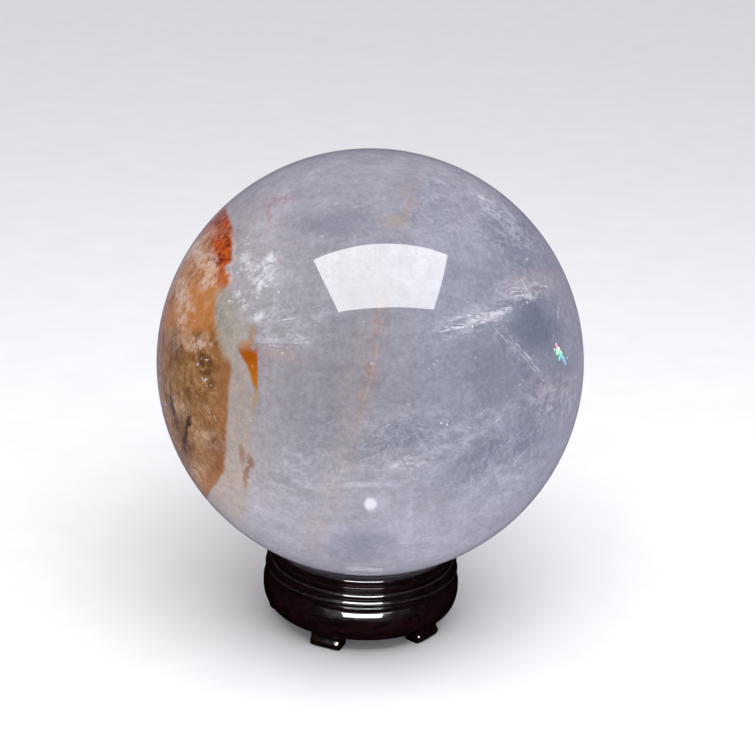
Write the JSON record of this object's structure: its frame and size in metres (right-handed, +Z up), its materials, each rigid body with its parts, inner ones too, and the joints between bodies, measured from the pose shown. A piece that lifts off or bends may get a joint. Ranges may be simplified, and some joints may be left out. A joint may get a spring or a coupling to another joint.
{
  "type": "crystal ball on a ring stand",
  "caption": "Polished milky quartz ball with iron-stained fractures, resting in a dark lacquered turned wooden ring stand on short carved feet.",
  "frame": {"origin": "on the floor under the centre of the stand", "axes": "+Z up through the centre of the stand and the ball, -Y towards the front from which the stained side of the ball is on the left"},
  "size_m": [0.1, 0.1, 0.1157],
  "materials": {
    "milky_quartz": "polished translucent milky quartz with orange-brown iron stain, veils and fractures",
    "lacquered_rosewood": "very dark red-brown rosewood under high-gloss lacquer",
    "peg_wood": "plain unfinished hardwood dowel"
  },
  "bodies": {
    "stand": {"seat_ring": "lacquered_rosewood", "base_ring": "lacquered_rosewood", "foot_1": "lacquered_rosewood", "foot_2": "lacquered_rosewood", "foot_3": "lacquered_rosewood", "foot_4": "lacquered_rosewood", "foot_5": "lacquered_rosewood", "foot_peg_1": "peg_wood", "foot_peg_2": "peg_wood", "foot_peg_3": "peg_wood", "foot_peg_4": "peg_wood", "foot_peg_5": "peg_wood"},
    "ball": {"crystal_ball": "milky_quartz"}
  },
  "joints": [
    {"name": "ball_lift", "type": "slide", "parent": "stand", "child": "ball", "axis": [0, 0, 1], "range_m": [0, 0.06]}
  ]
}
